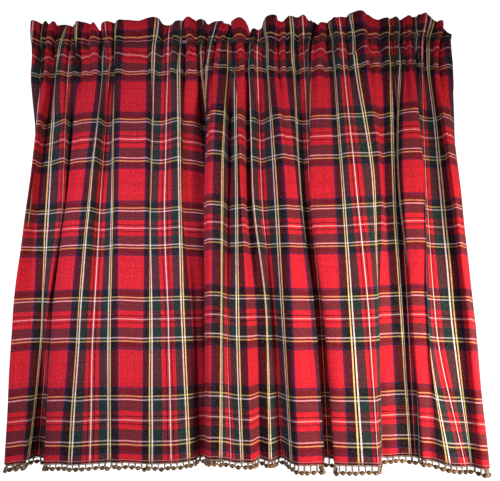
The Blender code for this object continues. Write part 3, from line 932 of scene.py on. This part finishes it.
def add_ring(points, centre, radius, a, b, sides):
    """Adds a ring of corners round a centre, in the plane of the directions a and b."""
    for side in range(sides):
        turn = 2 * pi * side / sides
        points.append(tuple(centre + radius * (a * cos(turn) + b * sin(turn))))


def close_rings(faces, first, rings, sides):
    """Adds the faces between rings of corners that follow each other, and a face at each end."""
    for ring in range(rings - 1):
        for side in range(sides):
            here = first + ring * sides
            ahead = (side + 1) % sides
            faces.append((here + side, here + ahead, here + sides + ahead, here + sides + side))
    last = first + (rings - 1) * sides
    faces.append(tuple(first + side for side in reversed(range(sides))))
    faces.append(tuple(last + side for side in range(sides)))


def add_tube(points, faces, path, radii, sides):
    """Adds a round tube along a path, with a radius at each of its points, closed at its ends."""
    path = np.asarray(path, dtype=float)
    run = np.gradient(path, axis=0)
    run /= np.linalg.norm(run, axis=1)[:, None] + 1e-12
    aside = np.cross(run, (0.03, -1.0, 0.05))
    aside /= np.linalg.norm(aside, axis=1)[:, None] + 1e-12
    other = np.cross(run, aside)
    first = len(points)
    for place, radius, a, b in zip(path, radii, aside, other):
        add_ring(points, place, radius, a, b, sides)
    close_rings(faces, first, len(path), sides)


trial_points, trial_faces = [], []
add_tube(trial_points, trial_faces, [(0, 0, 0), (0.01, 0, 0)], [0.001, 0.001], 6)
print("a straight tube of six sides has", len(trial_points), "corners and", len(trial_faces), "faces")

# %% Places on the finished sheet


def on_sheet(row, place):
    """A point of the sheet at a row and a place between columns."""
    column = min(int(place), COLUMNS - 2)
    return mix(sheet_rows[row, column], sheet_rows[row, column + 1], place - column)


def forward(row, place):
    """The direction that the cloth faces there, towards the room."""
    side = on_sheet(row, min(place + 0.7, COLUMNS - 1)) - on_sheet(row, max(place - 0.7, 0))
    fall = on_sheet(row + 1, place) - on_sheet(row - 1, place)
    facing = np.cross(fall, side)
    return facing / (np.linalg.norm(facing) + 1e-12)


print("half way along, the hem hangs at", on_sheet(HEM_FOLD, (COLUMNS - 1) / 2).round(3), "m")

# %% Rows of stitches
# Place along a stitch, and height of its middle above the cloth in radii of the thread
STITCH_ARCH = ((0.0, -0.8), (0.18, 0.35), (0.5, 0.75), (0.82, 0.35), (1.0, -0.8))
STITCH_ENDS = 0.8  # radius at a stitch's ends, as a share of the rest


def stitch_row(name, row, pitch, gap, radius, slant):
    """A row of stitches along a row of the sheet, as one object. gap is a share of the pitch."""
    points, faces = [], []
    count = int(CLOTH_WIDTH / pitch)
    step = (COLUMNS - 1) / count
    surface = CLOTH_THICK / 2
    for stitch in range(count):
        start = (stitch + gap / 2) * step
        path = []
        for share, rise in STITCH_ARCH:
            place = start + share * (1 - gap) * step
            point = on_sheet(row, place) + forward(row, place) * (surface + rise * radius)
            point[2] += slant * (share - 0.5)
            path.append(point)
        end = radius * STITCH_ENDS
        add_tube(points, faces, path, [end, radius, radius, radius, end], 5)
    made = new_object(name, points, faces)
    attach(made, "root")
    return made


hem_stitches = stitch_row("hem_stitches", HEM_STITCHES, 0.0042, 0.18, 0.00048, 0.0003)
upper_stitches = stitch_row("upper_stitches", UPPER_STITCHES, 0.0032, 0.15, 0.00028, 0.0002)
lower_stitches = stitch_row("lower_stitches", LOWER_STITCHES, 0.0032, 0.15, 0.00028, 0.0002)
print("three rows of stitches,", len(hem_stitches.data.polygons), "faces in the hem's")

# %% [markdown]
# ## Braid, loops and beads
# The trim is a narrow plait of three cords, sewn behind the edge of the hem. From it hangs a
# cord in a chain of loops, with one metal bead threaded at the bottom of each. Curve objects
# with a round bevel could make the cords. Here they are tubes of corners, laid out by distance
# along the edge of the hem: that one number says where each loop hangs, and the folds carry
# the whole trim in and out.

# %% The edge of the hem, by distance along it
hem_edge = sheet_rows[HEM_FOLD]
hem_steps = np.linalg.norm(np.diff(hem_edge, axis=0), axis=1)
hem_far = np.concatenate([[0.0], np.cumsum(hem_steps)])
HEM_LENGTH = hem_far[-1]


def at_hem(distance):
    """The point of the hem's edge at a distance from its left end."""
    return np.column_stack([np.interp(distance, hem_far, hem_edge[:, axis]) for axis in range(3)])


def hem_frame(distance):
    """The point there, the way that the hem runs, and the level direction to its back."""
    distance = np.atleast_1d(distance)
    place = at_hem(distance)
    run = at_hem(distance + 0.002) - at_hem(distance - 0.002)
    run[:, 2] = 0.0
    run /= np.linalg.norm(run, axis=1)[:, None] + 1e-12
    back = np.column_stack([-run[:, 1], run[:, 0], np.zeros(len(run))])
    return place, run, back


print("the hem's edge is", round(HEM_LENGTH, 3), "m long")

# %% Plait of three cords
PLAIT_WAVE = 0.0085  # metres of hem for one swing of a cord, up, down and back
PLAIT_HALF = 0.0012  # how far a cord swings up and down
PLAIT_OVER = 0.0005  # how far it swings in and out, to cross the others
PLAIT_CORD = 0.00055
PLAIT_BEHIND = 0.0022
PLAIT_BELOW = -0.0014

points, faces = [], []
far = np.linspace(0.001, HEM_LENGTH - 0.001, 1300)
place, run, back = hem_frame(far)
for cord in range(3):
    turn = 2 * pi * far / PLAIT_WAVE + cord * 2 * pi / 3
    path = place + back * (PLAIT_BEHIND + PLAIT_OVER * np.sin(2 * turn))[:, None]
    path[:, 2] += PLAIT_BELOW + PLAIT_HALF * np.sin(turn)
    add_tube(points, faces, path, np.full(len(far), PLAIT_CORD), 5)
plait = new_object("plaited_braid", points, faces)
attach(plait, "root")
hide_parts("bead_trim")
print("plait of", len(plait.data.polygons), "faces")

# %% [markdown]
# ## Loops and beads
# Each bead hangs a little askew and at its own height, and one loop in sixteen or so is longer.
# Copies of one bead would be less work, but they would all shine alike. So each one is made for
# itself, as rings of corners round its axis, and so is its loop, from the hem down through the
# bead and up again.

# %% Where the beads hang
BEADS = 119
pitch = HEM_LENGTH / BEADS
# How far the middle of a bead hangs below the edge, by place on the flat cloth, in millimetres
BEAD_HANG = (
    (0, 9.0),
    (250, 8.2),
    (700, 8.0),
    (860, 8.4),
    (915, 11.8),
    (965, 11.8),
    (1045, 11.8),
    (1110, 11.2),
    (1170, 8.6),
    (1300, 8.2),
    (1400, 8.8),
    (1524, 9.6),
)
hang = smooth_through(*zip(*BEAD_HANG))
print("beads every", round(pitch / MM, 2), "mm of the hem's edge")

# %% One loop
LOOP_CORD = 0.0012  # radius
LOOP_HALF = 0.47  # half width of a loop at the hem, as a share of the pitch
LOOP_BEHIND = 0.0018  # how far behind the hem's edge its ends are sewn
LOOP_KNEE = np.array((0, 0, 0.0016))  # how far above the bead's middle its cord turns in
LOOP_BULGE = 0.0003
BEAD_WIDE = 0.0073
BEAD_END = 0.47  # from a bead's middle to the cord at its end, as a share of its width
BEAD_SIDE = 0.62  # and to the cord beside it


def loop_path(far, middle, run):
    """The way of a loop's cord, from the hem down through the bead and up again."""
    ends = hem_frame([far - LOOP_HALF * pitch, far + LOOP_HALF * pitch])
    left, right = ends[0] + ends[2] * LOOP_BEHIND
    into = run * BEAD_WIDE * BEAD_END
    slack = run * BEAD_WIDE * BEAD_SIDE
    bulge = run * LOOP_BULGE
    down = [left, mix(left, middle - slack, 0.5) - bulge, middle - slack + LOOP_KNEE]
    up = [middle + slack + LOOP_KNEE, mix(right, middle + slack, 0.5) + bulge, right]
    return down + [middle - into, middle, middle + into] + up


print("a loop is", round(2 * LOOP_HALF * pitch / MM, 1), "mm wide at the hem")

# %% One bead
BEAD_HIGH = 0.0065
BEAD_SIDES = 14
HOLE = 0.0007  # least radius, where the cord goes in
HALF_BEAD = [(0.0, 0.10), (0.06, 0.42), (0.18, 0.72), (0.34, 0.93)]  # shares of its width and height
BEAD_PROFILE = HALF_BEAD + [(0.5, 1.0)] + [(1 - share, width) for share, width in reversed(HALF_BEAD)]


def add_bead(points, faces, middle, axis, back):
    """Adds a bead as rings of corners round its axis."""
    up = np.cross(axis, back)
    round_way = np.cross(up, axis)
    first = len(points)
    for share, width in BEAD_PROFILE:
        centre = middle + axis * (share - 0.5) * BEAD_WIDE
        add_ring(points, centre, max(width * BEAD_HIGH / 2, HOLE), up, round_way, BEAD_SIDES)
    close_rings(faces, first, len(BEAD_PROFILE), BEAD_SIDES)


print("a bead is", len(BEAD_PROFILE), "rings of", BEAD_SIDES, "corners")

# %% All loops and beads
UNEVEN_HANG = 0.0004
LONGER = 0.0014
LONGER_SHARE = 0.06
SWING = 0.0005  # a bead hangs about this far beside the middle of its loop
TILT = 0.16  # radians
BEAD_BEHIND = 0.0012  # behind the hem's edge
loop_points, loop_faces = [], []
bead_points, bead_faces, bead_tones = [], [], []

for bead in range(BEADS):
    far = (bead + 0.5) * pitch
    low = hang(np.interp(far, hem_far, along) / MM) * MM + rng.normal(0.0, UNEVEN_HANG)
    if rng.random() < LONGER_SHARE:
        low += LONGER
    swing = rng.normal(0.0, SWING)
    middle, run, back = (value[0] for value in hem_frame(far + swing))
    middle = middle + back * BEAD_BEHIND
    middle[2] -= low
    path = loop_path(far, middle, run)
    add_tube(loop_points, loop_faces, path, np.full(len(path), LOOP_CORD), 6)

    # A bead that has swung further tilts a little more.
    axis = run * cos(0.25 * swing / SWING) + np.array((0, 0, sin(rng.normal(0.0, TILT))))
    axis /= np.linalg.norm(axis)
    add_bead(bead_points, bead_faces, middle, axis, back)
    bead_tones += [rng.random()] * (len(BEAD_PROFILE) * BEAD_SIDES)

loops = new_object("bead_loops", loop_points, loop_faces)
beads = new_object("metal_beads", bead_points, bead_faces)
tones = beads.data.attributes.new("tone", "FLOAT", "POINT")
tones.data.foreach_set("value", bead_tones)
for piece in (loops, beads):
    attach(piece, "root")
print(BEADS, "beads of", len(bead_faces), "faces in all")

# %% [markdown]
# ## Finishes of the trim
# Antique brass is dark where it has tarnished and bright where it is rubbed, and it mirrors
# its surroundings. Full metal would be nearly black between its highlights in so dim a room,
# so the beads are a third metal and smooth, with a brown stain from a noise, and each bead is
# told its own tone. The cords are dull cotton with a twist that shows as a fine slanting bump,
# and as painted shade that darkens the colour along the twist's grooves.

# %% Antique brass
brass = Bench("antique brass")
tone = brass.node("Attribute", attribute_name="tone", out=2)
surface = brass.node("TexCoord", out=3)
stain = brass.node("TexNoise", surface, None, 420.0, 3.0, 0.6)
stain = brass.node("MapRange", stain, 0.35, 0.65, 0.0, 1.0)
worn = brass.math("MULTIPLY_ADD", tone, 0.6, brass.math("MULTIPLY", stain, 0.4))
brown, gold = (0.050, 0.022, 0.008, 1.0), (0.30, 0.18, 0.05, 1.0)
brass.set(
    Base_Color=brass.blend(worn, brown, gold),
    Metallic=0.35,
    Roughness=brass.node("MapRange", stain, 0.0, 1.0, 0.26, 0.14),
)
beads.data.materials.append(brass.material)
print("brass has", len(brass.tree.nodes), "nodes")

# %% Twisted cord


def cord_finish(name, colour, dark):
    """Twisted cotton, with painted shade that darkens its colour along the twist's grooves."""
    cotton = Bench(name)
    surface = cotton.node("TexCoord", out=3)
    twist = cotton.tree.nodes.new("ShaderNodeTexWave")
    twist.bands_direction = "DIAGONAL"
    twist.inputs["Scale"].default_value = 320.0
    twist.inputs["Distortion"].default_value = 1.5
    cotton.wire(surface, twist.inputs["Vector"])
    bump = cotton.tree.nodes.new("ShaderNodeBump")
    bump.inputs["Strength"].default_value = 0.5
    bump.inputs["Distance"].default_value = 0.0002
    cotton.wire(twist.outputs["Fac"], bump.inputs["Height"])
    cotton.set(
        # Painted shade: the dark colour stands for the shade in the grooves of the twist.
        Base_Color=cotton.blend(twist.outputs["Fac"], (*dark, 1.0), (*colour, 1.0)),
        Roughness=0.8,
        Sheen_Weight=0.2,
        Normal=bump.outputs[0],
    )
    return cotton.material


taupe = cord_finish("taupe cotton", (0.42, 0.33, 0.27), (0.22, 0.16, 0.12))
pink_thread = cord_finish("pink thread", (0.85, 0.42, 0.42), (0.60, 0.22, 0.22))
red_thread = cord_finish("red thread", (0.40, 0.015, 0.03), (0.20, 0.01, 0.015))
finishes = [(plait, taupe), (loops, taupe), (hem_stitches, pink_thread)]
finishes += [(upper_stitches, red_thread), (lower_stitches, red_thread)]
for piece, finish in finishes:
    piece.data.materials.append(finish)
print(len(bpy.data.materials), "materials in all")
